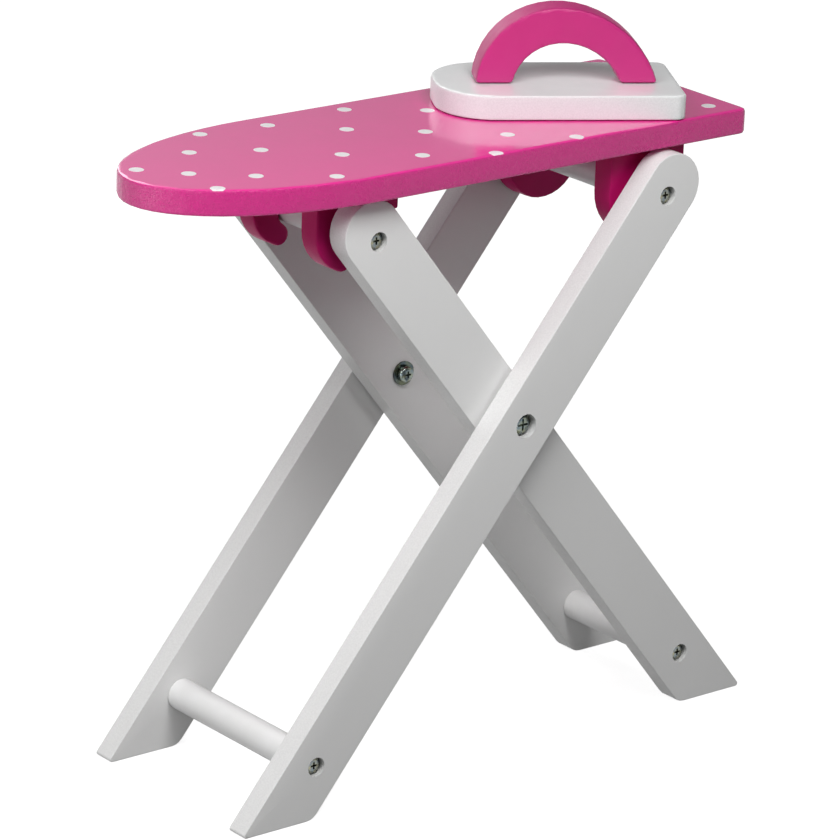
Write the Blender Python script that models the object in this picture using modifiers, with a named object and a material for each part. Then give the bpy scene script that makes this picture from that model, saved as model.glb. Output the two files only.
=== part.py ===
"""A doll's folding ironing board with a toy iron standing on it.

Metres, +Z up. The nose of the board points to -X and its square heel to +X.
The origin is on the floor, under the middle of the whole object.
"""

import math

import bmesh
import bpy
from mathutils import Vector

# Clearances: pieces that touch keep the seat gap, and turning pieces have the running gap all round.
SEAT_GAP = 0.0003
RUNNING_GAP = 0.0003
CUT_OVERRUN = 0.002

# How finely curves are drawn: the sag of a chord in an outline, the sides of turned pieces and of
# the holes they go in, and the distance under which points are one.
CHORD_SAG = 0.0001
DOWEL_SIDES = 20
SCREW_SIDES = 12
HOLE_SIDES = 16
WELD_DISTANCE = 0.00001

# The stand: two pairs of legs of one board stock, crossed, each pair held apart by two dowels.
STAND_WIDTH = 0.119
PIVOT_HEIGHT = 0.1715
LEG_ANGLE = 50.8
LEG_THICKNESS = 0.012
LEG_WIDTH = 0.032
LEG_EDGE_RADIUS = 0.0009
LEG_TOP_OVERHANG = 0.0054
FOOT_HEEL_RADIUS = 0.008
FOOT_TOE_RADIUS = 0.0014
TOP_DOWEL_REACH = 0.1285
BOTTOM_DOWEL_REACH = 0.187
DOWEL_DIAMETER = 0.0155

# Pan head screws through the legs into the dowel ends.
COUNTERBORE_DIAMETER = 0.0095
COUNTERBORE_DEPTH = 0.0052
SCREW_HEAD_DIAMETER = 0.0088
SCREW_HEAD_HEIGHT = 0.003
SCREW_SHANK_DIAMETER = 0.004
SCREW_TIP_LENGTH = 0.004
SCREW_LENGTH = 0.028

# Centre pivots: a sleeve nut from outside, a bolt and washer from inside, a spacer between the legs.
PIVOT_COUNTERBORE_DIAMETER = 0.012
PIVOT_COUNTERBORE_DEPTH = 0.0055
NUT_HEAD_DIAMETER = 0.0104
NUT_HEAD_HEIGHT = 0.0028
NUT_BARREL_DIAMETER = 0.006
NUT_BARREL_SHORTFALL = 0.0015
BOLT_SHANK_DIAMETER = 0.0038
BOLT_LENGTH = 0.0145
BOLT_TIP_LENGTH = 0.0008
BOLT_HEAD_DIAMETER = 0.0082
BOLT_HEAD_HEIGHT = 0.003
BOLT_WASHER_DIAMETER = 0.012
BOLT_WASHER_THICKNESS = 0.001
SPACER_DIAMETER = 0.014
SPACER_THICKNESS = 0.0009

# Cross recess of every screw head.
RECESS_WIDTH = 0.0011
RECESS_DEPTH = 0.0015
RECESS_SPAN_SHARE = 0.56

# The board.
BOARD_LENGTH = 0.3219
BOARD_WIDTH = 0.109
BOARD_THICKNESS = 0.0125
BOARD_EDGE_RADIUS = 0.0016
NOSE_LENGTH = 0.102
HEEL_CORNER_RADIUS = 0.004
HEEL_OVERHANG = 0.0532

# Brackets and hooks under the board, held by glued pins, each a little inside the legs it works with.
FITTING_THICKNESS = 0.012
FITTING_EDGE_RADIUS = 0.0012
FITTING_CLEARANCE = 0.004
BRACKET_RADIUS = 0.023
BRACKET_DROP = 0.0008
BRACKET_OFFSET = 0.0006
HOOK_HALF_WIDTH = 0.0236
HOOK_SLOT_PLAY = 0.0012
HOOK_TIP_RADIUS = 0.0052
HOOK_TIP_ANGLE = 236.8
HOOK_BELLY_RADIUS = 0.02
HOOK_BELLY_RISE = 0.0023
HOOK_WAIST_RADIUS = 0.022
PIN_DIAMETER = 0.006
PIN_DEPTH_IN_BOARD = 0.007
PIN_DEPTH_IN_FITTING = 0.009
PIN_EDGE_DISTANCE = 0.0085

# The toy iron: its base plate, the arch of its handle, and where it stands on the board.
IRON_LENGTH = 0.117
IRON_WIDTH = 0.063
IRON_THICKNESS = 0.012
IRON_TOE_RADIUS = 0.027
IRON_HEEL_RADIUS = 0.005
IRON_EDGE_RADIUS = 0.0013
HANDLE_RADIUS = 0.0444
HANDLE_BAND = 0.0174
HANDLE_SINK = 0.0078
HANDLE_LEAN_SHARE = 0.114
HANDLE_THICKNESS = 0.017
HANDLE_EDGE_RADIUS = 0.0018
HANDLE_SETBACK = 0.0041
HANDLE_ASIDE = 0.002
IRON_FROM_HEEL = 0.0755
IRON_FROM_MIDDLE = 0.0003
IRON_TURN = -30.7
IRON_SCREW_HEAD_DIAMETER = 0.007
IRON_SCREW_HEAD_HEIGHT = 0.0022
IRON_SCREW_SHANK_DIAMETER = 0.0035
IRON_SCREW_BITE = 0.0115
IRON_SCREW_SINK = 0.0006

# Sizes that follow from these.
LEAN = math.radians(LEG_ANGLE)
OUTER_LEG_Y = (STAND_WIDTH - LEG_THICKNESS) / 2
LEG_SPACING = LEG_THICKNESS + SPACER_THICKNESS + 2 * SEAT_GAP
INNER_LEG_Y = OUTER_LEG_Y - LEG_SPACING
BOARD_RISE = LEG_TOP_OVERHANG + LEG_WIDTH / 2 + SEAT_GAP
BRACKET_Y = OUTER_LEG_Y - (LEG_THICKNESS + FITTING_THICKNESS) / 2 - FITTING_CLEARANCE
HOOK_Y = INNER_LEG_Y - (LEG_THICKNESS + FITTING_THICKNESS) / 2 - FITTING_CLEARANCE
HEEL_DOWEL_X = TOP_DOWEL_REACH * math.cos(LEAN)
HEEL_X = HEEL_DOWEL_X + HEEL_OVERHANG
NOSE_X = HEEL_X - BOARD_LENGTH
TOE_CORNER_X = (PIVOT_HEIGHT * math.cos(LEAN) + LEG_WIDTH / 2) / math.sin(LEAN)
TOE_X = TOE_CORNER_X - FOOT_TOE_RADIUS * (1 / math.tan(LEAN / 2) - 1)
PIVOT = Vector((-(min(NOSE_X, -TOE_X) + max(HEEL_X, TOE_X)) / 2, 0, PIVOT_HEIGHT))

PINK = (0.545, 0.042, 0.2)
WHITE = (0.8, 0.8, 0.79)
ZINC = (0.58, 0.59, 0.57)
BEECH = (0.6, 0.42, 0.24)


def clear_scene():
    for obj in list(bpy.data.objects):
        bpy.data.objects.remove(obj)


def new_collection(name):
    collection = bpy.data.collections.new(name)
    bpy.context.scene.collection.children.link(collection)
    return collection


def new_material(name, colour, roughness, metallic=0.0):
    material = bpy.data.materials.new(name)
    material.use_nodes = True
    shader = material.node_tree.nodes["Principled BSDF"]
    shader.inputs["Base Color"].default_value = (*colour, 1)
    shader.inputs["Roughness"].default_value = roughness
    shader.inputs["Metallic"].default_value = metallic
    return material


def new_axis(name, location, turn=0.0):
    """An empty on a joint's axis, which carries the pieces that move about it."""
    axis = bpy.data.objects.new(name, None)
    axis.location = location
    axis.rotation_euler.z = math.radians(turn)
    parts.objects.link(axis)
    return axis


def on_leg(reach, side):
    """The point on a leg's centre line at this reach from the pivot; side 1 leans to the heel."""
    return Vector((side * reach * math.cos(LEAN), 0, reach * math.sin(LEAN)))


# Outlines are lists of points in a piece's own plane, and angles are in degrees.


def arc(centre, radius, start, end):
    """Points on a circle from one angle to the other, as many as the chord sag asks for."""
    step = 2 * math.degrees(math.acos(1 - min(CHORD_SAG / radius, 0.5)))
    count = max(2, math.ceil(abs(end - start) / step))
    turns = [start + (end - start) * i / count for i in range(count + 1)]
    angles = [math.radians(turn) for turn in turns]
    centre = Vector(centre)
    return [centre + radius * Vector((math.cos(a), math.sin(a))) for a in angles]


def rounded(corners):
    """The outline through corners (x, y, radius), each rounded with its radius."""
    outline = []
    for i, (x, y, radius) in enumerate(corners):
        corner = Vector((x, y))
        to_last = (Vector(corners[i - 1][:2]) - corner).normalized()
        to_next = (Vector(corners[(i + 1) % len(corners)][:2]) - corner).normalized()
        half = to_last.angle(to_next) / 2
        centre = corner + (to_last + to_next).normalized() * radius / math.sin(half)
        first = direction(corner + to_last * radius / math.tan(half) - centre)
        last = direction(corner + to_next * radius / math.tan(half) - centre)
        sweep = (last - first + 180) % 360 - 180
        outline += arc(centre, radius, first, first + sweep)
    return outline


def direction(vector):
    return math.degrees(math.atan2(vector[1], vector[0]))


def without_repeats(outline):
    """The outline with each point that repeats the one before it left out."""
    return [p for i, p in enumerate(outline) if (p - outline[i - 1]).length > WELD_DISTANCE]


def leg_outline(side):
    """A leg about the pivot: round at the top, cut level with the floor at the bottom."""
    along = on_leg(1, side).xz
    across = Vector((-along.y, along.x)) * side
    half = LEG_WIDTH / 2
    end = along * (TOP_DOWEL_REACH + LEG_TOP_OVERHANG + half)
    floor = -PIVOT_HEIGHT
    toe = across * half + along * (floor - across.y * half) / along.y
    heel = -across * half + along * (floor + across.y * half) / along.y
    corners = [
        (*(end + across * half), half),
        (*(end - across * half), half),
        (*heel, FOOT_HEEL_RADIUS),
        (*toe, FOOT_TOE_RADIUS),
    ]
    return rounded(corners)


def board_outline():
    """The board about the heel dowel: half an ellipse for the nose, small round corners at the heel."""
    half = BOARD_WIDTH / 2
    nose_x = HEEL_OVERHANG - BOARD_LENGTH + NOSE_LENGTH
    nose = [Vector((nose_x + p.x * NOSE_LENGTH / half, p.y)) for p in arc((0, 0), half, 90, 270)]
    inset = HEEL_CORNER_RADIUS
    corner_x = HEEL_OVERHANG - inset
    near = arc((corner_x, inset - half), inset, -90, 0)
    far = arc((corner_x, half - inset), inset, 0, 90)
    return nose + near + far


def bracket_outline():
    """A heel bracket about its dowel: round below, straight up to the board."""
    left = BRACKET_OFFSET - BRACKET_RADIUS
    right = BRACKET_OFFSET + BRACKET_RADIUS
    top = BOARD_RISE - SEAT_GAP
    low_end = arc((BRACKET_OFFSET, -BRACKET_DROP), BRACKET_RADIUS, 180, 360)
    return low_end + [Vector((right, top)), Vector((left, top))]


def touching_both(first, first_radius, second, second_radius, radius):
    """The centre of a circle that touches two others from outside, on the left going from the first."""
    a = first_radius + radius
    b = second_radius + radius
    line = second - first
    along = (a * a - b * b + line.length_squared) / (2 * line.length)
    aside = math.sqrt(a * a - along * along)
    line.normalize()
    return first + line * along + Vector((-line.y, line.x)) * aside


def hook_outline():
    """A nose hook about the dowel it holds: a slot open to the heel, a round tip under the dowel,
    and a full back that runs into the tip over a slight waist."""
    slot = (DOWEL_DIAMETER + HOOK_SLOT_PLAY) / 2 + RUNNING_GAP
    slot_centre = Vector((0, -HOOK_SLOT_PLAY / 2))
    top = BOARD_RISE - SEAT_GAP
    tip_turn = math.radians(HOOK_TIP_ANGLE)
    tip = slot_centre + Vector((math.cos(tip_turn), math.sin(tip_turn))) * (slot + HOOK_TIP_RADIUS)
    belly = Vector((HOOK_BELLY_RADIUS - HOOK_HALF_WIDTH, HOOK_BELLY_RISE))
    waist = touching_both(tip, HOOK_TIP_RADIUS, belly, HOOK_BELLY_RADIUS, HOOK_WAIST_RADIUS)
    tip_end = direction(waist - tip) % -360
    waist_start = direction(tip - waist)
    waist_end = direction(belly - waist)
    belly_start = direction(waist - belly) % -360
    outline = [Vector((HOOK_HALF_WIDTH, top)), Vector((HOOK_HALF_WIDTH, slot_centre.y + slot))]
    outline += arc(slot_centre, slot, 90, HOOK_TIP_ANGLE)
    outline += arc(tip, HOOK_TIP_RADIUS, HOOK_TIP_ANGLE - 180, tip_end)
    outline += arc(waist, HOOK_WAIST_RADIUS, waist_start, waist_end)
    outline += arc(belly, HOOK_BELLY_RADIUS, belly_start, -180)
    outline.append(Vector((-HOOK_HALF_WIDTH, top)))
    return outline


def iron_outline():
    """The iron's base plate about its middle, toe to -X."""
    x = IRON_LENGTH / 2
    y = IRON_WIDTH / 2
    toe = IRON_TOE_RADIUS
    heel = IRON_HEEL_RADIUS
    return rounded([(-x, y, toe), (-x, -y, toe), (x, -y, heel), (x, y, heel)])


def handle_outline():
    """The handle: an arch that is less than half a ring, standing on the base plate at height 0
    and leaning a little towards the toe."""
    inner = HANDLE_RADIUS - HANDLE_BAND
    outer_start = math.degrees(math.asin(HANDLE_SINK / HANDLE_RADIUS))
    inner_start = math.degrees(math.asin(HANDLE_SINK / inner))
    centre = (0, -HANDLE_SINK)
    outside = arc(centre, HANDLE_RADIUS, outer_start, 180 - outer_start)
    inside = arc(centre, inner, 180 - inner_start, inner_start)
    return [Vector((p.x - p.y * HANDLE_LEAN_SHARE, p.y)) for p in outside + inside]


def finish_mesh(obj, material, edge_radius=0.0):
    """Round the edges, shade smooth with sharp corners kept, and give the material."""
    obj.data.materials.clear()
    obj.data.materials.append(material)
    obj.data.shade_smooth()
    obj.data.set_sharp_from_angle(angle=math.radians(35))
    if edge_radius:
        bevel = obj.modifiers.new("rounded_edges", "BEVEL")
        bevel.width = edge_radius
        bevel.segments = 2
        bevel.limit_method = "ANGLE"
        bevel.angle_limit = math.radians(40)


def flat_piece(name, outline, thickness, edge_radius, material, axis, place, upright=True):
    """A piece sawn from a board: its outline, extruded. Upright ones stand in the XZ plane."""
    curve = bpy.data.curves.new(name, "CURVE")
    curve.dimensions = "2D"
    curve.fill_mode = "BOTH"
    curve.extrude = thickness / 2
    outline = without_repeats(outline)
    spline = curve.splines.new("POLY")
    spline.points.add(len(outline) - 1)
    for point, (x, y) in zip(spline.points, outline):
        point.co = (x, y, 0, 1)
    spline.use_cyclic_u = True
    drawn = bpy.data.objects.new(name + "_outline", curve)
    parts.objects.link(drawn)
    drawn.parent = axis
    drawn.location = place
    drawn.rotation_euler.x = math.radians(90) if upright else 0
    bpy.context.view_layer.update()
    depsgraph = bpy.context.evaluated_depsgraph_get()
    mesh = bpy.data.meshes.new_from_object(drawn.evaluated_get(depsgraph))
    shape = bmesh.new()
    shape.from_mesh(mesh)
    bmesh.ops.remove_doubles(shape, verts=shape.verts, dist=WELD_DISTANCE)
    bmesh.ops.dissolve_limit(shape, angle_limit=math.radians(0.5), verts=shape.verts, edges=shape.edges)
    bmesh.ops.recalc_face_normals(shape, faces=shape.faces)
    shape.to_mesh(mesh)
    shape.free()
    piece = bpy.data.objects.new(name, mesh)
    parts.objects.link(piece)
    piece.parent = axis
    piece.matrix_world = drawn.matrix_world
    bpy.data.objects.remove(drawn)
    finish_mesh(piece, material, edge_radius)
    return piece


def turned_mesh(name, profile, sides):
    """A turned shape from its profile (radius, height), which runs down its outer side."""
    mesh = bpy.data.meshes.new(name)
    mesh.from_pydata([(r, 0, z) for r, z in profile], [(i, i + 1) for i in range(len(profile) - 1)], [])
    blank = bpy.data.objects.new(name + "_profile", mesh)
    parts.objects.link(blank)
    screw = blank.modifiers.new("turned", "SCREW")
    screw.steps = sides
    screw.render_steps = sides
    screw.use_merge_vertices = True
    screw.merge_threshold = WELD_DISTANCE
    return blank


def baked(blank):
    """The mesh that an object's modifiers make; the object itself is removed."""
    bpy.context.view_layer.update()
    depsgraph = bpy.context.evaluated_depsgraph_get()
    mesh = bpy.data.meshes.new_from_object(blank.evaluated_get(depsgraph))
    mesh.name = blank.name
    bpy.data.objects.remove(blank)
    return mesh


def placed(name, mesh, material, axis, place, turn_x=0.0):
    """A piece made from a mesh that others may share."""
    piece = bpy.data.objects.new(name, mesh)
    parts.objects.link(piece)
    piece.parent = axis
    piece.location = place
    piece.rotation_euler.x = math.radians(turn_x)
    finish_mesh(piece, material)
    return piece


def cutter(name, profile, sides, axis, place, turn_x=0.0):
    """A turned cutter, which the build leaves out."""
    tool = turned_mesh(name, profile, sides)
    parts.objects.unlink(tool)
    cutters.objects.link(tool)
    tool.parent = axis
    tool.location = place
    tool.rotation_euler.x = math.radians(turn_x)
    tool.hide_render = True
    tool.display_type = "WIRE"
    return tool


def cut(piece, tool):
    boolean = piece.modifiers.new("cut_" + tool.name, "BOOLEAN")
    boolean.operation = "DIFFERENCE"
    boolean.solver = "EXACT"
    boolean.object = tool


def shade_flat_faces_flat():
    """Large flat faces keep their own direction where rounded edges and holes meet them."""
    for piece in parts.objects:
        if piece.modifiers:
            piece.modifiers.new("flat_faces", "WEIGHTED_NORMAL")


def cross_recessed(name, profile, head_diameter, head_top):
    """The mesh of a turned screw with a cross recess in the top of its head."""
    blank = turned_mesh(name, profile, SCREW_SIDES)
    span = head_diameter * RECESS_SPAN_SHARE
    bars = []
    for size in ((span, RECESS_WIDTH), (RECESS_WIDTH, span)):
        shape = bmesh.new()
        bmesh.ops.create_cube(shape, size=1)
        bmesh.ops.scale(shape, vec=(*size, 2 * RECESS_DEPTH), verts=shape.verts)
        bmesh.ops.translate(shape, vec=(0, 0, head_top), verts=shape.verts)
        mesh = bpy.data.meshes.new(name + "_recess")
        shape.to_mesh(mesh)
        shape.free()
        bar = bpy.data.objects.new(name + "_recess", mesh)
        cutters.objects.link(bar)
        cut(blank, bar)
        bars.append(bar)
    mesh = baked(blank)
    for bar in bars:
        bpy.data.objects.remove(bar)
    return mesh


def pan_head(name, head_diameter, head_height, shank_diameter, length, tip_length):
    """A domed screw with its head's seat at height 0 and its shank below."""
    head = head_diameter / 2
    shank = shank_diameter / 2
    crown_shares = ((0.0, 1.0), (0.62, 0.97), (0.88, 0.76), (1.0, 0.38), (1.0, 0.0))
    profile = [(head * r, head_height * z) for r, z in crown_shares]
    profile += [(shank, 0), (shank, tip_length - length), (0, -length)]
    return cross_recessed(name, profile, head_diameter, head_height)


def outward(side):
    """The turn about X that points a screw's head away from the stand's middle."""
    return -90 * side


def make_dowel(name, length, axis, place):
    """A dowel along Y, with a pilot hole in each end for its screws."""
    radius = DOWEL_DIAMETER / 2
    pilot = SCREW_SHANK_DIAMETER / 2 + SEAT_GAP
    depth = SCREW_LENGTH - (LEG_THICKNESS - COUNTERBORE_DEPTH) + SEAT_GAP
    half = length / 2
    profile = [(0, half - depth), (pilot, half - depth), (pilot, half), (radius, half)]
    profile += [(r, -z) for r, z in reversed(profile)]
    mesh = baked(turned_mesh(name, profile, DOWEL_SIDES))
    return placed(name, mesh, white_paint, axis, place, turn_x=90)


def stepped_hole(name, wide, depth, narrow, leg_y, side, axis, place):
    """A cutter for a counterbored hole right through a leg, wide on its outer face."""
    face = LEG_THICKNESS / 2
    profile = [
        (0, face + CUT_OVERRUN),
        (wide / 2, face + CUT_OVERRUN),
        (wide / 2, face - depth),
        (narrow / 2, face - depth),
        (narrow / 2, -face - CUT_OVERRUN),
        (0, -face - CUT_OVERRUN),
    ]
    return cutter(name, profile, HOLE_SIDES, axis, place + Vector((0, side * leg_y, 0)), outward(side))


def make_frame(frame, axis, leg_y, lean, screw_mesh):
    """Two legs with two dowels between them, screwed through the legs."""
    inside = leg_y - LEG_THICKNESS / 2
    dowel_length = 2 * (inside - SEAT_GAP)
    ends = {"top": on_leg(TOP_DOWEL_REACH, lean), "bottom": on_leg(-BOTTOM_DOWEL_REACH, lean)}
    for end, place in ends.items():
        make_dowel(f"{frame}_{end}_dowel", dowel_length, axis, place)
    legs = {}
    for side, hand in ((-1, "near"), (1, "far")):
        leg = flat_piece(
            f"{frame}_leg_{hand}", leg_outline(lean), LEG_THICKNESS, LEG_EDGE_RADIUS,
            white_paint, axis, Vector((0, side * leg_y, 0)),
        )
        for end, place in ends.items():
            name = f"{frame}_{end}_screw_{hand}"
            through = SCREW_SHANK_DIAMETER + 2 * SEAT_GAP
            hole = stepped_hole(
                name + "_hole", COUNTERBORE_DIAMETER, COUNTERBORE_DEPTH, through,
                leg_y, side, axis, place,
            )
            cut(leg, hole)
            seat = side * (leg_y + LEG_THICKNESS / 2 - COUNTERBORE_DEPTH + SEAT_GAP)
            placed(name, screw_mesh, zinc_plate, axis, place + Vector((0, seat, 0)), outward(side))
        legs[side] = leg
    return legs


def make_pivot(side, hand, axis, outer_leg, inner_leg):
    """A sleeve nut in the outer leg, a bolt from inside the inner leg, and a spacer between the legs."""
    hole_diameter = NUT_BARREL_DIAMETER + 2 * RUNNING_GAP
    centre = Vector((0, 0, 0))
    outer_hole = stepped_hole(
        f"outer_pivot_hole_{hand}", PIVOT_COUNTERBORE_DIAMETER, PIVOT_COUNTERBORE_DEPTH,
        hole_diameter, OUTER_LEG_Y, side, axis, centre,
    )
    inner_hole = stepped_hole(
        f"inner_pivot_hole_{hand}", hole_diameter, LEG_THICKNESS, hole_diameter,
        INNER_LEG_Y, side, axis, centre,
    )
    cut(outer_leg, outer_hole)
    cut(inner_leg, inner_hole)

    nut_seat = OUTER_LEG_Y + LEG_THICKNESS / 2 - PIVOT_COUNTERBORE_DEPTH + SEAT_GAP
    inner_face = INNER_LEG_Y - LEG_THICKNESS / 2
    washer_y = inner_face - SEAT_GAP - BOLT_WASHER_THICKNESS / 2
    bolt_seat = inner_face - 2 * SEAT_GAP - BOLT_WASHER_THICKNESS
    barrel = NUT_BARREL_DIAMETER / 2
    barrel_end = inner_face + NUT_BARREL_SHORTFALL - nut_seat
    thread = BOLT_SHANK_DIAMETER / 2 + SEAT_GAP
    thread_end = bolt_seat + BOLT_LENGTH + SEAT_GAP - nut_seat
    head = NUT_HEAD_DIAMETER / 2
    crown_shares = ((0.0, 1.0), (0.7, 0.95), (0.92, 0.7), (1.0, 0.4), (1.0, 0.0))
    profile = [(head * r, NUT_HEAD_HEIGHT * z) for r, z in crown_shares]
    profile += [(barrel, 0), (barrel, barrel_end)]
    profile += [(thread, barrel_end), (thread, thread_end), (0, thread_end)]
    nut = f"pivot_sleeve_nut_{hand}"
    nut_mesh = cross_recessed(nut, profile, NUT_HEAD_DIAMETER, NUT_HEAD_HEIGHT)
    placed(nut, nut_mesh, zinc_plate, axis, (0, side * nut_seat, 0), outward(side))

    bolt = f"pivot_bolt_{hand}"
    bolt_mesh = pan_head(
        bolt, BOLT_HEAD_DIAMETER, BOLT_HEAD_HEIGHT, BOLT_SHANK_DIAMETER, BOLT_LENGTH, BOLT_TIP_LENGTH
    )
    placed(bolt, bolt_mesh, zinc_plate, axis, (0, side * bolt_seat, 0), -outward(side))

    bolt_hole = BOLT_SHANK_DIAMETER + 2 * SEAT_GAP
    spacer_y = (OUTER_LEG_Y + INNER_LEG_Y) / 2
    for name, diameter, hole, thickness, y in (
        ("pivot_bolt_washer", BOLT_WASHER_DIAMETER, bolt_hole, BOLT_WASHER_THICKNESS, washer_y),
        ("pivot_spacer", SPACER_DIAMETER, hole_diameter, SPACER_THICKNESS, spacer_y),
    ):
        make_washer(f"{name}_{hand}", diameter, hole, thickness, axis, side * y)


def make_washer(name, diameter, hole_diameter, thickness, axis, y):
    outside = diameter / 2
    inside = hole_diameter / 2
    half = thickness / 2
    profile = [(inside, half), (outside, half), (outside, -half), (inside, -half), (inside, half)]
    mesh = baked(turned_mesh(name, profile, DOWEL_SIDES))
    placed(name, mesh, zinc_plate, axis, (0, y, 0), turn_x=90)


def make_fitting(name, outline, axis, place):
    """A bracket or hook under the board, with two glued pins up into it."""
    fitting = flat_piece(name, outline, FITTING_THICKNESS, FITTING_EDGE_RADIUS, pink_paint, axis, place)
    left = min(point.x for point in outline) + PIN_EDGE_DISTANCE
    right = max(point.x for point in outline) - PIN_EDGE_DISTANCE
    middle_z = BOARD_RISE + (PIN_DEPTH_IN_BOARD - PIN_DEPTH_IN_FITTING) / 2
    length = PIN_DEPTH_IN_BOARD + PIN_DEPTH_IN_FITTING
    radius = PIN_DIAMETER / 2
    for number, x in enumerate((left, right), 1):
        middle = place + Vector((x, 0, middle_z))
        profile = [(0, length / 2), (radius, length / 2), (radius, -length / 2), (0, -length / 2)]
        pin = baked(turned_mesh(f"{name}_pin_{number}", profile, SCREW_SIDES))
        placed(f"{name}_pin_{number}", pin, beech_wood, axis, middle)
        hole_profile = [
            (0, length / 2 + SEAT_GAP),
            (radius + SEAT_GAP, length / 2 + SEAT_GAP),
            (radius + SEAT_GAP, -length / 2 - SEAT_GAP),
            (0, -length / 2 - SEAT_GAP),
        ]
        hole = cutter(f"{name}_pin_{number}_hole", hole_profile, SCREW_SIDES, axis, middle)
        cut(fitting, hole)
        cut(board, hole)
    return fitting


def make_iron(axis):
    """The base plate and its handle, held by two countersunk screws from below."""
    base = flat_piece(
        "iron_base", iron_outline(), IRON_THICKNESS, IRON_EDGE_RADIUS, white_paint,
        axis, Vector((0, 0, IRON_THICKNESS / 2)), upright=False,
    )
    foot_z = IRON_THICKNESS + SEAT_GAP
    handle = flat_piece(
        "iron_handle", handle_outline(), HANDLE_THICKNESS, HANDLE_EDGE_RADIUS, pink_paint,
        axis, Vector((HANDLE_SETBACK, -HANDLE_ASIDE, foot_z)),
    )
    head = IRON_SCREW_HEAD_DIAMETER / 2
    shank = IRON_SCREW_SHANK_DIAMETER / 2
    neck = -IRON_SCREW_HEAD_HEIGHT
    end = IRON_SCREW_SINK - foot_z - IRON_SCREW_BITE
    profile = [(0, 0), (head, 0), (shank, neck), (shank, end + shank), (0, end)]
    screw_mesh = cross_recessed("iron_screw", profile, IRON_SCREW_HEAD_DIAMETER, 0)
    wide = head + SEAT_GAP
    bore = shank + SEAT_GAP
    hole_profile = [
        (0, IRON_SCREW_SINK + CUT_OVERRUN),
        (wide, IRON_SCREW_SINK + CUT_OVERRUN),
        (wide, 0),
        (bore, neck - SEAT_GAP),
        (bore, end - SEAT_GAP),
        (0, end - SEAT_GAP),
    ]
    outer_foot = math.sqrt(HANDLE_RADIUS ** 2 - HANDLE_SINK ** 2)
    inner_foot = math.sqrt((HANDLE_RADIUS - HANDLE_BAND) ** 2 - HANDLE_SINK ** 2)
    foot_x = (outer_foot + inner_foot) / 2
    for x, word in ((-foot_x, "toe"), (foot_x, "heel")):
        place = Vector((HANDLE_SETBACK + x, -HANDLE_ASIDE, IRON_SCREW_SINK))
        hole = cutter(f"iron_screw_hole_{word}", hole_profile, SCREW_SIDES, axis, place, turn_x=180)
        cut(base, hole)
        cut(handle, hole)
        placed(f"iron_screw_{word}", screw_mesh, zinc_plate, axis, place, turn_x=180)


clear_scene()
parts = new_collection("doll_ironing_board")
cutters = new_collection("cutters")
cutters.hide_render = True

pink_paint = new_material("pink_paint", PINK, 0.38)
white_paint = new_material("white_paint", WHITE, 0.42)
zinc_plate = new_material("zinc_plate", ZINC, 0.32, metallic=1.0)
beech_wood = new_material("beech_wood", BEECH, 0.6)

# The outer frame stands still, and the inner frame turns on the centre pivots.
outer_axis = new_axis("outer_frame", PIVOT)
inner_axis = new_axis("leg_fold_axis", PIVOT)
dowel_screw = pan_head(
    "dowel_screw", SCREW_HEAD_DIAMETER, SCREW_HEAD_HEIGHT,
    SCREW_SHANK_DIAMETER, SCREW_LENGTH, SCREW_TIP_LENGTH,
)
outer_legs = make_frame("outer", outer_axis, OUTER_LEG_Y, 1, dowel_screw)
inner_legs = make_frame("inner", inner_axis, INNER_LEG_Y, -1, dowel_screw)
for side, hand in ((-1, "near"), (1, "far")):
    make_pivot(side, hand, outer_axis, outer_legs[side], inner_legs[side])

# The board turns on the outer frame's top dowel, with its fittings.
board_axis = new_axis("board_tip_axis", PIVOT + on_leg(TOP_DOWEL_REACH, 1))
board = flat_piece(
    "board", board_outline(), BOARD_THICKNESS, BOARD_EDGE_RADIUS, pink_paint,
    board_axis, Vector((0, 0, BOARD_RISE + BOARD_THICKNESS / 2)), upright=False,
)
nose_dowel = Vector((-2 * HEEL_DOWEL_X, 0, 0))
dowel_hole_radius = DOWEL_DIAMETER / 2 + RUNNING_GAP
reach = FITTING_THICKNESS / 2 + CUT_OVERRUN
dowel_hole_profile = [(0, reach), (dowel_hole_radius, reach), (dowel_hole_radius, -reach), (0, -reach)]
for side, hand in ((-1, "near"), (1, "far")):
    bracket_place = Vector((0, side * BRACKET_Y, 0))
    bracket = make_fitting(f"heel_bracket_{hand}", bracket_outline(), board_axis, bracket_place)
    hole = cutter(
        f"bracket_dowel_hole_{hand}", dowel_hole_profile, DOWEL_SIDES, board_axis, bracket_place, turn_x=90
    )
    cut(bracket, hole)
    hook_place = nose_dowel + Vector((0, side * HOOK_Y, 0))
    make_fitting(f"nose_hook_{hand}", hook_outline(), board_axis, hook_place)

# The iron stands loose on the board, turned across it.
board_top = BOARD_RISE + BOARD_THICKNESS + SEAT_GAP
iron_place = Vector((HEEL_OVERHANG - IRON_FROM_HEEL, IRON_FROM_MIDDLE, board_top))
make_iron(new_axis("iron_lift_axis", board_axis.location + iron_place, turn=IRON_TURN))

shade_flat_faces_flat()
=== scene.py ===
"""Looks for the doll's ironing board: paint, metal, printed dots, floor, lamps and camera.

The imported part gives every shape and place. Sizes are in metres, +Z is up, and the board's nose
points to -X.
"""

import math

import bmesh
import bpy
from mathutils import Matrix, Vector
from mathutils.bvhtree import BVHTree


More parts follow.
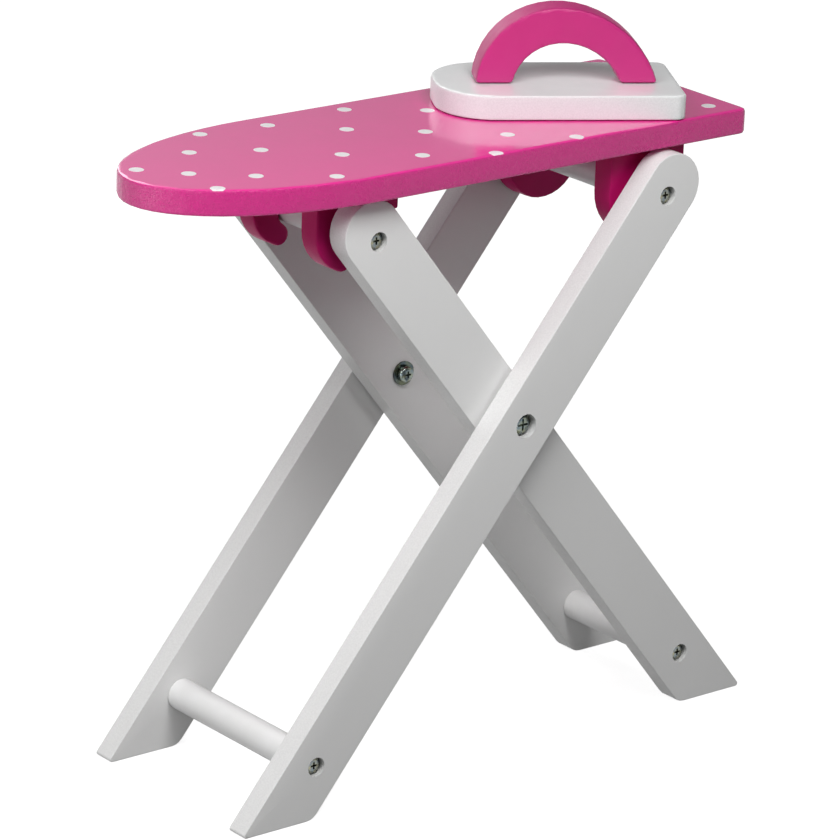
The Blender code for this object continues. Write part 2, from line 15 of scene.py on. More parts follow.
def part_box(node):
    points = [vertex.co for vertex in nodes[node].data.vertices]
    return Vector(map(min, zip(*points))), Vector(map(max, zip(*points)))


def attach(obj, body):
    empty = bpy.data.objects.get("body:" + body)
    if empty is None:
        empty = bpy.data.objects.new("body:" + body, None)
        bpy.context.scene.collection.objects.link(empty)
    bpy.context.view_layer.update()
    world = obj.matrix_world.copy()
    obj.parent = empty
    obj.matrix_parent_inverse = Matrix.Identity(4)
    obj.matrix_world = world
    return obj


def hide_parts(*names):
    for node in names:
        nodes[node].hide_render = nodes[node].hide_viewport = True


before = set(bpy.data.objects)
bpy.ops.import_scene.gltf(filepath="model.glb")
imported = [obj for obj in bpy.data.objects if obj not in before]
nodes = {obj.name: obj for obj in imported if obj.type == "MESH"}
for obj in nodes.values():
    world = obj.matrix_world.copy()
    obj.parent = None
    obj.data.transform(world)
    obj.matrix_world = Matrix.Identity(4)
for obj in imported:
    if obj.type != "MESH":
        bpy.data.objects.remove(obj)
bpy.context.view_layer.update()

# Camera. It stands to the left of the nose end at the photograph's place, with a long lens, and
# looks down on the board a little. It leans by two degrees, as the photograph does.
CAMERA_PLACE = (-1.35318, -1.65427, 0.89717)
CAMERA_TURN = (70.952, -2.089, -38.532)
CAMERA_LENS = 203.6
SENSOR_WIDTH = 36
SEEN_AS_FAR_AS = 60
camera_data = bpy.data.cameras.new("camera")
camera_data.sensor_width = SENSOR_WIDTH
camera_data.lens = CAMERA_LENS
camera_data.clip_end = SEEN_AS_FAR_AS
camera = bpy.data.objects.new("camera", camera_data)
bpy.context.scene.collection.objects.link(camera)
camera.location = CAMERA_PLACE
camera.rotation_euler = [math.radians(turn) for turn in CAMERA_TURN]
bpy.context.scene.camera = camera

# Legs. Strips of fine fibreboard, sawn, sanded along their edges and sprayed white. Two dowels hold
# each pair apart. The sawn edges keep a little more of the board's fibre.
# The legs' edge tone makes the edges darker than the faces, partly as painted shade.
LEG_WHITE = (0.82, 0.82, 0.815)
LEG_FACE = (0, 1, 0)
FACE_ABOVE = 0.9
EDGE_BELOW = 0.55
CLOUDS_PER_METRE = 45
SWELLS_PER_METRE = 130
PATCHES_PER_METRE = 160
FIBRES_PER_METRE = 1300
FIBRE_CONTRAST = 0.05
SHINE_DRIFT = 0.04
SWELL_TO_PEEL = 1.4
LACQUER_IOR = 1.6
ROUND_BELOW = 35
CORNERS_MEET_WITHIN = 0.000002


def add_node(tree, kind, settings=None, **inputs):
    """A shader node. An input is named by its socket, with _ for a space, or by its number after a
    _, and is either a value or the socket that feeds it."""
    made = tree.nodes.new("ShaderNode" + kind)
    for setting, value in (settings or {}).items():
        setattr(made, setting, value)
    for word, value in inputs.items():
        socket = made.inputs[int(word[1:]) if word[1:].isdigit() else word.replace("_", " ")]
        if isinstance(value, bpy.types.NodeSocket):
            tree.links.new(value, socket)
        else:
            socket.default_value = value
    return made


def grains(tree, place, per_metre, detail=2.0, roughness=0.5):
    """Noise over the object's own coordinates, with so many grains in a metre."""
    made = add_node(
        tree, "TexNoise", Vector=place, Scale=per_metre, Detail=detail, Roughness=roughness
    )
    return made.outputs["Fac"]


def spread(tree, value, low, high, start=0.3, end=0.7):
    """The value's span from start to end, stretched to low and high."""
    made = add_node(
        tree, "MapRange", Value=value, From_Min=start, From_Max=end, To_Min=low, To_Max=high
    )
    return made.outputs["Result"]


def raised(tree, height, depth, below=None):
    """A bump of so many metres from a height between 0 and 1, on top of another bump."""
    made = add_node(tree, "Bump", Strength=1.0, Distance=depth, Height=height)
    if below is not None:
        tree.links.new(below, made.inputs["Normal"])
    return made.outputs["Normal"]


def tinted(tree, factor, first, second):
    """A colour between two others."""
    made = add_node(
        tree, "Mix", {"data_type": "RGBA"}, _0=factor, _6=(*first, 1), _7=(*second, 1)
    )
    return made.outputs[2]


def scaled(colour, *factors):
    """A colour times one factor, or times one for each of red, green and blue."""
    if len(factors) == 1:
        factors = factors * 3
    return tuple(part * factor for part, factor in zip(colour, factors))


def blank_finish(name):
    """A material with its node tree, main shader and the object's own coordinates and normals."""
    made = bpy.data.materials.new(name)
    made.use_nodes = True
    tree = made.node_tree
    where = tree.nodes.new("ShaderNodeTexCoord")
    return made, tree, tree.nodes["Principled BSDF"], where


def surfaced(tree, shader, colour, roughness, normal):
    """Links the shader's colour, roughness and normal to the sockets that make them."""
    tree.links.new(colour, shader.inputs["Base Color"])
    tree.links.new(roughness, shader.inputs["Roughness"])
    tree.links.new(normal, shader.inputs["Normal"])


def by_side(tree, on_face, on_back, edge, face, back):
    """A value with one level on the edges, one on the faces and, with an on_back, one behind."""
    level = add_node(tree, "Mix", _0=on_face, _2=edge, _3=face)
    if on_back is not None:
        level = add_node(tree, "Mix", _0=on_back, _2=level.outputs[0], _3=back)
    return level.outputs[0]


def paint_colour(tree, place, colour, on_face, drift, edge_tone_and_shade):
    """Paint that drifts a little over the faces, and flecks of fibre in it on the edges. The edges
    are darker by the edge tone, partly as painted shade.
    """
    clouds = grains(tree, place, CLOUDS_PER_METRE, detail=3.0, roughness=0.6)
    pale = scaled(colour, 1 + drift)
    deep = scaled(colour, 1 - drift)
    drifting = tinted(tree, spread(tree, clouds, 0.0, 1.0), deep, pale)
    flecks = grains(tree, place, FIBRES_PER_METRE, roughness=0.7)
    soaked_and_shaded = scaled(colour, edge_tone_and_shade * (1 + FIBRE_CONTRAST))
    fibre = scaled(colour, edge_tone_and_shade * (1 - FIBRE_CONTRAST))
    sawn = tinted(tree, spread(tree, flecks, 0.0, 1.0, start=0.35, end=0.65), fibre, soaked_and_shaded)
    paint = add_node(tree, "Mix", {"data_type": "RGBA"}, _0=on_face, _6=sawn, _7=drifting)
    return paint.outputs[2]


def paint_peel(tree, place, on_face, face_peel, edge_peel):
    """The paint's unevenness: a slow swell, and on top of it the fibres, higher on the edges."""
    swell = grains(tree, place, SWELLS_PER_METRE, detail=1.0)
    fibres = grains(tree, place, FIBRES_PER_METRE, roughness=0.65)
    depth = add_node(tree, "Mix", _0=on_face, _2=edge_peel / face_peel, _3=1.0)
    uneven = add_node(tree, "Math", {"operation": "MULTIPLY"}, _0=fibres, _1=depth.outputs[0])
    smooth = raised(tree, swell, face_peel * SWELL_TO_PEEL)
    return raised(tree, uneven.outputs[0], face_peel, smooth)


def sprayed_paint(
    name,
    colour,
    face,
    shine,
    edge_shine,
    face_peel,
    edge_peel,
    face_lacquer=0.0,
    edge_lacquer=0.0,
    lacquer_shine=0.12,
    drift=0.02,
    edge_tone_and_shade=0.95,
    back_shine=None,
):
    """Sprayed paint on board. It lies smooth on the faces square to face, and the sawn edges drink
    some of it and show the board's fibres. The edges' darker tone is partly painted shade.
    FACE_ABOVE and EDGE_BELOW are cosines of the lean from face. A shine is a roughness, and a peel
    is the height of the paint's unevenness. With a back_shine, the side turned away from face has
    that roughness and no lacquer."""
    made, tree, shader, where = blank_finish(name)
    place = where.outputs["Object"]
    dot = add_node(
        tree, "VectorMath", {"operation": "DOT_PRODUCT"}, _0=where.outputs["Normal"], _1=face
    )
    size = add_node(tree, "Math", {"operation": "ABSOLUTE"}, _0=dot.outputs["Value"])
    on_face = spread(tree, size.outputs[0], 0.0, 1.0, EDGE_BELOW, FACE_ABOVE)
    on_back = None
    if back_shine:
        on_back = spread(tree, dot.outputs["Value"], 1.0, 0.0, -FACE_ABOVE, -EDGE_BELOW)

    paint = paint_colour(tree, place, colour, on_face, drift, edge_tone_and_shade)
    level = by_side(tree, on_face, on_back, edge_shine, shine, back_shine)
    patches = grains(tree, place, PATCHES_PER_METRE)
    change = spread(tree, patches, -SHINE_DRIFT, SHINE_DRIFT)
    rough = add_node(tree, "Math", {"operation": "ADD"}, _0=level, _1=change)
    peel = paint_peel(tree, place, on_face, face_peel, edge_peel)
    surfaced(tree, shader, paint, rough.outputs[0], peel)
    if face_lacquer:
        lacquer = by_side(tree, on_face, on_back, edge_lacquer, face_lacquer, 0.0)
        tree.links.new(lacquer, shader.inputs["Coat Weight"])
        tree.links.new(peel, shader.inputs["Coat Normal"])
        shader.inputs["Coat Roughness"].default_value = lacquer_shine
        shader.inputs["Coat IOR"].default_value = LACQUER_IOR
    return made


def eased_shading():
    """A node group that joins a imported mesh's loose corners and shades its curves round."""
    tree = bpy.data.node_groups.new("eased_shading", "GeometryNodeTree")
    for way in ("INPUT", "OUTPUT"):
        tree.interface.new_socket("Geometry", in_out=way, socket_type="NodeSocketGeometry")
    source = tree.nodes.new("NodeGroupInput")
    packed_normals = tree.nodes.new("GeometryNodeRemoveAttribute")
    packed_normals.inputs["Name"].default_value = "custom_normal"
    weld = tree.nodes.new("GeometryNodeMergeByDistance")
    weld.inputs["Distance"].default_value = CORNERS_MEET_WITHIN
    rounded = tree.nodes.new("GeometryNodeSetShadeSmooth")
    bend = tree.nodes.new("GeometryNodeInputMeshEdgeAngle")
    shallow = tree.nodes.new("FunctionNodeCompare")
    shallow.operation = "LESS_THAN"
    shallow.inputs["B"].default_value = math.radians(ROUND_BELOW)
    edges = tree.nodes.new("GeometryNodeSetShadeSmooth")
    edges.domain = "EDGE"
    result = tree.nodes.new("NodeGroupOutput")
    tree.links.new(source.outputs[0], packed_normals.inputs["Geometry"])
    tree.links.new(packed_normals.outputs["Geometry"], weld.inputs["Geometry"])
    tree.links.new(weld.outputs["Geometry"], rounded.inputs["Geometry"])
    tree.links.new(rounded.outputs["Geometry"], edges.inputs["Geometry"])
    tree.links.new(bend.outputs["Unsigned Angle"], shallow.inputs["A"])
    tree.links.new(shallow.outputs["Result"], edges.inputs["Shade Smooth"])
    tree.links.new(edges.outputs["Geometry"], result.inputs[0])
    return tree


def finished(node, finish):
    """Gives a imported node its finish, and shades its curves round without a change to its mesh."""
    packed = nodes[node]
    packed.material_slots[0].material = finish
    packed.modifiers.new("eased_shading", "NODES").node_group = easing
    flats = packed.modifiers.new("flat_faces", "WEIGHTED_NORMAL")
    flats.mode = "FACE_AREA_WITH_ANGLE"
    flats.keep_sharp = True


easing = eased_shading()
leg_paint = sprayed_paint(
    "leg_white_paint",
    LEG_WHITE,
    LEG_FACE,
    shine=0.42,
    edge_shine=0.48,
    face_peel=0.000012,
    edge_peel=0.00004,
    drift=0.006,
    edge_tone_and_shade=0.82,
)
for frame_name in ("outer", "inner"):
    for hand in ("near", "far"):
        finished(f"{frame_name}_leg_{hand}", leg_paint)

# Dowels. Beech rods turned round and sprayed white, held between the legs by the screws. Their
# grain runs along Y and just shows through the paint.
DOWEL_WHITES = ((0.71, 0.71, 0.705), (0.745, 0.745, 0.745))
DOWEL_SHINES = (0.4, 0.5)


def long_grain(tree, where, stretch, per_metre, detail):
    """Wood grain, drawn out along the axis that stretch makes small."""
    drawn_out = add_node(tree, "Mapping", Vector=where.outputs["Object"], Scale=stretch)
    return grains(tree, drawn_out.outputs[0], per_metre, detail, roughness=0.6)


dowel_paint, tree, shader, where = blank_finish("dowel_white_paint")
grain = long_grain(tree, where, stretch=(1, 0.04, 1), per_metre=1400, detail=3.0)
clouds = grains(tree, where.outputs["Object"], per_metre=60)
surfaced(
    tree,
    shader,
    tinted(tree, spread(tree, clouds, 0.0, 1.0), *DOWEL_WHITES),
    spread(tree, grain, *DOWEL_SHINES),
    raised(tree, grain, depth=0.00002),
)
for frame_name in ("outer", "inner"):
    for end in ("top", "bottom"):
        finished(f"{frame_name}_{end}_dowel", dowel_paint)

# Dowel screws. Pan heads of zinc plated steel with a tapered cross recess, driven through each leg
# into the dowel's end from the bottom of a counterbore.
SCREW_HEAD = 0.0088
SCREW_SHANK = 0.004
SCREW_LENGTH = 0.028
SCREW_POINT = 0.004
# The screws' zinc is far darker than real zinc plate: a painted dark reflection in the heads.
SCREW_ZINC_AND_PAINTED_REFLECTION = (0.23, 0.23, 0.225)
YELLOW_CAST = (1.3, 1.25, 0.85)
GREY_CAST = (0.72, 0.85, 0.95)
ZINC_SHINES = (0.16, 0.34)
HEAD_HEIGHT = 0.003
HEAD_SIDES = 48
# From the middle outwards, as shares of the head's radius and height.
HEAD_CROWN = (
    (0.0, 1.0),
    (0.35, 0.995),
    (0.6, 0.965),
    (0.78, 0.89),
    (0.9, 0.77),
    (0.97, 0.6),
    (1.0, 0.4),
    (1.0, 0.05),
    (0.97, 0.0),
)
CROWN_ROUND_BELOW = 32
RECESS_SPAN = 0.0046
RECESS_WIDTH = 0.0011
RECESS_DEPTH = 0.0017
SPAN_TAPER = 0.55
WIDTH_TAPER = 0.8


def zinc_plated(name, colour):
    """Zinc plate: yellowish and greyer patches, and a fine unevenness that dulls it in spots."""
    made, tree, shader, where = blank_finish(name)
    place = where.outputs["Object"]
    casts = spread(tree, grains(tree, place, per_metre=380), 0.0, 1.0, start=0.35, end=0.65)
    tone = tinted(tree, casts, scaled(colour, *GREY_CAST), scaled(colour, *YELLOW_CAST))
    spots = grains(tree, place, per_metre=2200, detail=3.0)
    dulled = spread(tree, spots, *ZINC_SHINES)
    surfaced(tree, shader, tone, dulled, raised(tree, spots, depth=0.00004))
    shader.inputs["Metallic"].default_value = 1.0
    return made


def mesh_of(shape, name):
    """The shape as a mesh. The shape is used up."""
    mesh = bpy.data.meshes.new(name)
    shape.to_mesh(mesh)
    shape.free()
    return mesh


def in_scene(name, mesh):
    """A new object in the scene with that mesh."""
    made = bpy.data.objects.new(name, mesh)
    bpy.context.scene.collection.objects.link(made)
    return made


def turned(name, profile, sides):
    """A closed mesh turned about Z from a profile of (radius, height) that starts and ends on Z."""
    shape = bmesh.new()
    turns = [2 * math.pi * i / sides for i in range(sides)]
    rings = []
    for radius, height in profile:
        if radius == 0:
            corners = [(0, 0, height)]
        else:
            corners = [(radius * math.cos(t), radius * math.sin(t), height) for t in turns]
        rings.append([shape.verts.new(corner) for corner in corners])
    for upper, lower in zip(rings, rings[1:]):
        for i in range(sides):
            j = (i + 1) % sides
            if len(upper) == 1:
                corners = (upper[0], lower[i], lower[j])
            elif len(lower) == 1:
                corners = (upper[i], lower[0], upper[j])
            else:
                corners = (upper[i], lower[i], lower[j], upper[j])
            shape.faces.new(corners)
    bmesh.ops.recalc_face_normals(shape, faces=shape.faces)
    return mesh_of(shape, name)


def smooth_to(mesh, degrees):
    """Shades the mesh round wherever it bends by less than so many degrees."""
    mesh.shade_smooth()
    mesh.set_sharp_from_angle(angle=math.radians(degrees))


def recess_bar(turn):
    """One bar of the cross recess, narrower at its bottom and turned about Z, at the crown."""
    shape = bmesh.new()
    bmesh.ops.create_cube(shape, size=1)
    for corner in shape.verts:
        at_bottom = corner.co.z < 0
        corner.co.x *= RECESS_SPAN * (SPAN_TAPER if at_bottom else 1.0)
        corner.co.y *= RECESS_WIDTH * (WIDTH_TAPER if at_bottom else 1.0)
        corner.co.z *= 2 * RECESS_DEPTH
    bmesh.ops.rotate(shape, verts=shape.verts, matrix=Matrix.Rotation(turn, 3, "Z"))
    bmesh.ops.translate(shape, verts=shape.verts, vec=(0, 0, HEAD_HEIGHT))
    return in_scene("recess_bar", mesh_of(shape, "recess_bar"))


def cross_recessed(mesh):
    """The same mesh with the cross recess cut into its head."""
    body = in_scene("recess_blank", mesh)
    bars = [recess_bar(turn) for turn in (0, math.pi / 2)]
    for bar in bars:
        cut = body.modifiers.new("recess", "BOOLEAN")
        cut.operation = "DIFFERENCE"
        cut.solver = "EXACT"
        cut.object = bar
    bpy.context.view_layer.update()
    depsgraph = bpy.context.evaluated_depsgraph_get()
    made = bpy.data.meshes.new_from_object(body.evaluated_get(depsgraph))
    for spare in (body, *bars):
        bpy.data.objects.remove(spare)
    return made


def screw_mesh(name, head, shank, length, point):
    """A pan head screw with its seat at height 0: crown, shank and a tapered point."""
    profile = [(head / 2 * radius, HEAD_HEIGHT * height) for radius, height in HEAD_CROWN]
    profile += [(shank / 2, 0), (shank / 2, point - length), (0, -length)]
    mesh = cross_recessed(turned(name, profile, HEAD_SIDES))
    smooth_to(mesh, CROWN_ROUND_BELOW)
    return mesh


def set_in_leg(piece, node, outward):
    """Sets a fastener where its node is: axis along Y, head towards outward, crown at its end."""
    low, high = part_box(node)
    crown = high.y if outward > 0 else low.y
    piece.location = ((low.x + high.x) / 2, crown - outward * HEAD_HEIGHT, (low.z + high.z) / 2)
    piece.rotation_euler = (-math.pi / 2 * outward, 0, 0)


screw_zinc_and_painted_reflection = zinc_plated("screw_zinc_plate_and_painted_reflection", SCREW_ZINC_AND_PAINTED_REFLECTION)
dowel_screw = screw_mesh("dowel_screw", SCREW_HEAD, SCREW_SHANK, SCREW_LENGTH, SCREW_POINT)
dowel_screw.materials.append(screw_zinc_and_painted_reflection)
for frame_name in ("outer", "inner"):
    for end in ("top", "bottom"):
        for hand, outward in (("near", -1), ("far", 1)):
            node = f"{frame_name}_{end}_screw_{hand}"
            screw = in_scene(node + "_detail", dowel_screw)
            set_in_leg(screw, node, outward)
            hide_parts(node)
            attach(screw, f"{frame_name}_frame")

# Centre pivots. A sleeve nut sits deep in the outer leg, and a domed bolt with a washer goes into
# it from inside the inner leg. A spacer keeps the painted faces apart.
BOLT_HEAD = 0.0082
BOLT_SHANK = 0.0038
BOLT_LENGTH = 0.0145
BOLT_POINT = 0.0008
# The bolt's zinc is far darker than real zinc plate, and the washer's dark steel darker still than
# real steel: a painted dark reflection.
BOLT_ZINC_AND_PAINTED_REFLECTION = (0.2, 0.22, 0.225)
WASHER_STEEL_AND_PAINTED_REFLECTION = (0.1, 0.115, 0.115)
bolt_zinc_and_painted_reflection = zinc_plated("pivot_zinc_plate_and_painted_reflection", BOLT_ZINC_AND_PAINTED_REFLECTION)
washer_steel_and_painted_reflection = zinc_plated("washer_steel_and_painted_reflection", WASHER_STEEL_AND_PAINTED_REFLECTION)
pivot_bolt = screw_mesh("pivot_bolt", BOLT_HEAD, BOLT_SHANK, BOLT_LENGTH, BOLT_POINT)
pivot_bolt.materials.append(bolt_zinc_and_painted_reflection)
for hand, outward in (("near", -1), ("far", 1)):
    node = f"pivot_bolt_{hand}"
    bolt = in_scene(node + "_detail", pivot_bolt)
    set_in_leg(bolt, node, -outward)
    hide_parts(node)
    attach(bolt, "outer_frame")
    finished(f"pivot_sleeve_nut_{hand}", bolt_zinc_and_painted_reflection)
    finished(f"pivot_bolt_washer_{hand}", washer_steel_and_painted_reflection)
    finished(f"pivot_spacer_{hand}", washer_steel_and_painted_reflection)

# Board. Fibreboard sprayed pink, glossy on its flat top. The sawn edge drinks the paint and keeps
# a fine fleck all round, and its darker pink is partly painted shade.
BOARD_PINK = (0.75, 0.018, 0.27)
BOARD_FACE = (0, 0, 1)
board_paint = sprayed_paint(
    "board_pink_paint",
    BOARD_PINK,
    BOARD_FACE,
    shine=0.2,
    edge_shine=0.26,
    face_peel=0.000004,
    edge_peel=0.00032,
    face_lacquer=1.0,
    edge_tone_and_shade=0.78,
    back_shine=0.6,
)
finished("board", board_paint)

# Dots. Thin white ink printed on the painted top before the iron is set on it, in loose slanting
# rows. Those at the rim run over its rounded edge.
DOT_DIAMETER = 0.0069
DOT_THICKNESS = 0.00006
DOT_PLACES = (
    (-0.1027, 0.0438),
    (-0.1249, 0.0216),
    (-0.0668, 0.0399),
    (-0.0944, 0.0081),
    (-0.0192, 0.0433),
    (-0.0394, 0.0154),
    (-0.0672, -0.0172),
    (-0.0910, -0.0443),
    (-0.1616, 0.0112),
    (-0.1453, -0.0062),
    (-0.1217, -0.0249),
    (-0.1481, -0.0319),
    (0.0136, 0.0219),
    (-0.0104, -0.0067),
    (-0.0365, -0.0374),
    (0.0194, -0.0306),
    (-0.0051, -0.0521),
    (0.0447, -0.0502),
    (0.1347, -0.0414),
    (0.0655, 0.0207),
    (0.1010, 0.0441),
    (0.0470, -0.0100),
    (0.0935, -0.0250),
    (0.1260, 0.0060),
)
DOT_RINGS = 5
DOT_SIDES = 40
DOT_ROUND_BELOW = 40
ABOVE_THE_BOARD = 1.0
RIM_TURNS_AWAY_BELOW = 0.45
STEP_INWARD = DOT_DIAMETER * 0.01
INK_WHITES = ((0.76, 0.74, 0.75), (0.8, 0.79, 0.8))
INK_SHINES = (0.32, 0.42)
INK_GLAZE = 0.6
GLAZE_SHINE = 0.15


def inked_spot(surface, x, y, turn, reach):
    """The place on the surface at that turn and reach from a dot's middle, or a little nearer to
    it where the rim turns away."""
    while True:
        above = Vector((x + reach * math.cos(turn), y + reach * math.sin(turn), ABOVE_THE_BOARD))
        place, normal = surface.ray_cast(above, Vector((0, 0, -1)))[:2]
        if place is not None and normal.z >= RIM_TURNS_AWAY_BELOW:
            return place
        reach -= STEP_INWARD


def ink_dot(shape, surface, x, y):
    """One round dot of ink that follows the surface below it, down to where the rim turns away."""
    layers = []
    for lift in (DOT_THICKNESS, -DOT_THICKNESS):
        rings = []
        for ring in range(DOT_RINGS + 1):
            reach = DOT_DIAMETER / 2 * ring / DOT_RINGS
            count = DOT_SIDES if ring else 1
            spots = [
                inked_spot(surface, x, y, 2 * math.pi * i / count, reach) for i in range(count)
            ]
            rings.append([shape.verts.new(spot + Vector((0, 0, lift))) for spot in spots])
        layers.append(rings)
    for rings, order in ((layers[0], 1), (layers[1], -1)):
        for inner, outer in zip(rings, rings[1:]):
            for i in range(DOT_SIDES):
                j = (i + 1) % DOT_SIDES
                if len(inner) == 1:
                    shape.faces.new((inner[0], outer[i], outer[j])[::order])
                else:
                    shape.faces.new((inner[i], outer[i], outer[j], inner[j])[::order])
    upper, lower = layers[0][-1], layers[1][-1]
    for i in range(DOT_SIDES):
        j = (i + 1) % DOT_SIDES
        shape.faces.new((upper[j], upper[i], lower[i], lower[j]))


surface = BVHTree.FromObject(nodes["board"], bpy.context.evaluated_depsgraph_get())
dots_shape = bmesh.new()
for x, y in DOT_PLACES:
    ink_dot(dots_shape, surface, x, y)
bmesh.ops.recalc_face_normals(dots_shape, faces=dots_shape.faces)
dots_mesh = mesh_of(dots_shape, "board_dots")
smooth_to(dots_mesh, DOT_ROUND_BELOW)
dot_ink, tree, shader, where = blank_finish("dot_white_ink")
cover = grains(tree, where.outputs["Object"], per_metre=700, detail=3.0)
surfaced(
    tree,
    shader,
    tinted(tree, spread(tree, cover, 0.0, 1.0), *INK_WHITES),
    spread(tree, cover, *INK_SHINES),
    raised(tree, cover, depth=0.000008),
)
shader.inputs["Coat Weight"].default_value = INK_GLAZE
shader.inputs["Coat Roughness"].default_value = GLAZE_SHINE
dots_mesh.materials.append(dot_ink)
dots = in_scene("board_dots", dots_mesh)
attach(dots, "board")

# Brackets and hooks. Pink-painted fibreboard blanks, glued and pinned under the board. The brackets
# hold the outer dowel, and the hooks catch the inner one.
# The fittings' pink is darker and deeper than the board's: painted shade, as they sit under the
# board.
FITTING_PINK_AND_SHADE = (0.5, 0.0055, 0.13)
FITTING_GLINT = 0.12
BEECH_BROWNS = ((0.5, 0.33, 0.18), (0.68, 0.5, 0.31))
BEECH_SHINES = (0.6, 0.72)
fitting_paint_and_shade = sprayed_paint(
    "fitting_pink_paint_and_shade",
    FITTING_PINK_AND_SHADE,
    LEG_FACE,
    shine=0.4,
    edge_shine=0.46,
    face_peel=0.00001,
    edge_peel=0.00005,
)
fitting_shader = fitting_paint_and_shade.node_tree.nodes["Principled BSDF"]
fitting_shader.inputs["Specular IOR Level"].default_value = FITTING_GLINT
beech, tree, shader, where = blank_finish("pin_beech_wood")
grain = long_grain(tree, where, stretch=(1, 1, 0.06), per_metre=2500, detail=4.0)
surfaced(
    tree,
    shader,
    tinted(tree, spread(tree, grain, 0.0, 1.0), *BEECH_BROWNS),
    spread(tree, grain, *BEECH_SHINES),
    raised(tree, grain, depth=0.00003),
)
for hand in ("near", "far"):
    for fitting in (f"heel_bracket_{hand}", f"nose_hook_{hand}"):
        finished(fitting, fitting_paint_and_shade)
        for number in (1, 2):
            finished(f"{fitting}_pin_{number}", beech)

# Toy iron. A white base plate with a round toe, and a pink arch for a handle, both sawn from
# fibreboard and sprayed. It stands askew on the board. Two screws hold the arch from below.
IRON_WHITE = (0.81, 0.825, 0.825)
HANDLE_PINK = (0.5, 0.018, 0.175)
IRON_TURN = math.radians(-30.7)
HANDLE_FACE = (-math.sin(IRON_TURN), math.cos(IRON_TURN), 0)
iron_paint = sprayed_paint(
    "iron_white_paint",
    IRON_WHITE,
    BOARD_FACE,
    shine=0.22,
    edge_shine=0.36,
    face_peel=0.0000012,
    edge_peel=0.000012,
    face_lacquer=1.0,
    edge_lacquer=0.2,
    lacquer_shine=0.3,
    drift=0.01,
    edge_tone_and_shade=0.86,
    back_shine=0.6,
)
handle_paint = sprayed_paint(
    "handle_pink_paint",
    HANDLE_PINK,
    HANDLE_FACE,
    shine=0.34,
    edge_shine=0.46,
    face_peel=0.000008,
    edge_peel=0.00002,
    edge_tone_and_shade=0.9,
)
finished("iron_base", iron_paint)
finished("iron_handle", handle_paint)
for end in ("toe", "heel"):
    finished(f"iron_screw_{end}", screw_zinc_and_painted_reflection)

# Floor. A wide pale sheet that looks white. It keeps a faint shadow by the feet, and further off it
# shines by itself, where the lamps no longer reach it.
FLOOR_SIZE = 24
LAMPLIT_REACH = 0.5
UNLIT_FROM = 1.5
GLOW_BY_THE_FEET = 0.88
UNDERFOOT_GREY = (0.15, 0.15, 0.15, 1)
SHEET_GREY = (0.36, 0.36, 0.36, 1)
WHITE = (1, 1, 1, 1)


def looked_at(tree):
    """1 where the camera sees it, also mirrored or through glass, and 0 where it only lights."""
    rays = tree.nodes.new("ShaderNodeLightPath").outputs
    mirrored = add_node(
        tree,
        "Math",
        {"operation": "MAXIMUM"},
        _0=rays["Is Glossy Ray"],
        _1=rays["Is Transmission Ray"],
    )
    seen = add_node(
        tree, "Math", {"operation": "MAXIMUM"}, _0=rays["Is Camera Ray"], _1=mirrored.outputs[0]
    )
    return seen.outputs[0]


floor_shape = bmesh.new()
bmesh.ops.create_grid(floor_shape, x_segments=1, y_segments=1, size=FLOOR_SIZE / 2)
floor_mesh = mesh_of(floor_shape, "floor")
floor_finish = bpy.data.materials.new("floor_sheet")
floor_finish.use_nodes = True
tree = floor_finish.node_tree
tree.nodes.clear()
output = tree.nodes.new("ShaderNodeOutputMaterial")
dull = add_node(tree, "BsdfDiffuse", Color=UNDERFOOT_GREY)
shadowed = add_node(tree, "BsdfDiffuse", Color=SHEET_GREY)
here = tree.nodes.new("ShaderNodeTexCoord")
away = add_node(tree, "VectorMath", {"operation": "LENGTH"}, _0=here.outputs["Object"])
own_light = spread(
    tree, away.outputs["Value"], GLOW_BY_THE_FEET, 1.0, start=LAMPLIT_REACH, end=UNLIT_FROM
)
glow = add_node(tree, "Emission", Color=WHITE, Strength=own_light)
bright = add_node(tree, "AddShader", _0=shadowed.outputs[0], _1=glow.outputs[0])
sheet = add_node(tree, "MixShader", _0=looked_at(tree), _1=dull.outputs[0], _2=bright.outputs[0])
tree.links.new(sheet.outputs[0], output.inputs["Surface"])
floor_mesh.materials.append(floor_finish)
floor = in_scene("floor", floor_mesh)

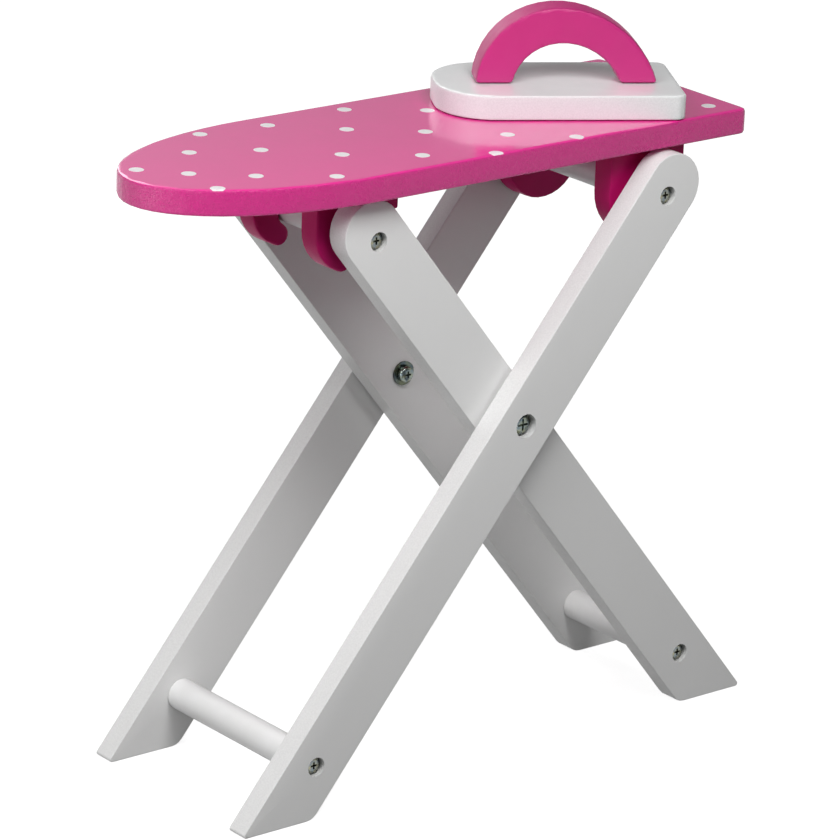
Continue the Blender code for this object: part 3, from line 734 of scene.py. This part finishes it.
# Light. A pale room, seen brighter to the left and low down, with large soft boxes. The main one is
# high over the nose end. Others fill in from the front, the heel end and the back, and a low card
# lights the legs' edges and the dowel near the floor.
ROOM = 0.06
LEFT_BEHIND = (-0.741, 0.672, 0.0)
WALLS_DARK = 0.15
WALLS_BRIGHT = 0.6
LOW_DOWN_ENDS = 0.06
MIDDLE = Vector((0, 0, 0.17))
# Each lamp's name, place, width, height and watts. All of them face the middle.
LAMPS = (
    ("nose_box", (-1.7, -0.3, 1.3), 0.9, 0.9, 13.6),
    ("near_box", (-0.55, -0.25, 0.9), 0.5, 0.5, 1.7),
    ("front_box", (-0.15, -0.45, 0.85), 0.35, 0.35, 4.0),
    ("front_wall", (-0.25, -1.15, 1.15), 0.9, 0.9, 2.0),
    ("heel_box", (1.3, -0.7, 0.6), 0.9, 0.9, 1.5),
    ("back_box", (0.05, 1.25, 0.9), 0.9, 0.9, 4.6),
    ("low_card", (-0.68, 0.04, 0.13), 0.5, 0.14, 0.8),
)
world = bpy.data.worlds.new("room")
world.use_nodes = True
bpy.context.scene.world = world
tree = world.node_tree
background = tree.nodes["Background"]
where = tree.nodes.new("ShaderNodeTexCoord")
side = add_node(
    tree,
    "VectorMath",
    {"operation": "DOT_PRODUCT"},
    _0=where.outputs["Generated"],
    _1=LEFT_BEHIND,
)
walls = spread(tree, side.outputs["Value"], WALLS_DARK, WALLS_BRIGHT, start=-0.05, end=0.2)
level = add_node(tree, "SeparateXYZ", Vector=where.outputs["Generated"])
low_down = spread(tree, level.outputs["Z"], 1.0, 0.0, start=0.0, end=LOW_DOWN_ENDS)
pale = add_node(tree, "Mix", _0=low_down, _2=walls, _3=1.0)
strength = add_node(tree, "Mix", _0=looked_at(tree), _2=ROOM, _3=pale.outputs[0])
tree.links.new(strength.outputs[0], background.inputs["Strength"])
background.inputs["Color"].default_value = WHITE
for name, place, width, height, watts in LAMPS:
    lamp_data = bpy.data.lights.new(name, "AREA")
    lamp_data.shape = "RECTANGLE"
    lamp_data.size = width
    lamp_data.size_y = height
    lamp_data.energy = watts
    lamp = bpy.data.objects.new(name, lamp_data)
    bpy.context.scene.collection.objects.link(lamp)
    lamp.location = place
    lamp.rotation_euler = (MIDDLE - lamp.location).to_track_quat("-Z", "Y").to_euler()
    lamp.visible_camera = False
bpy.context.scene.view_settings.view_transform = "Standard"
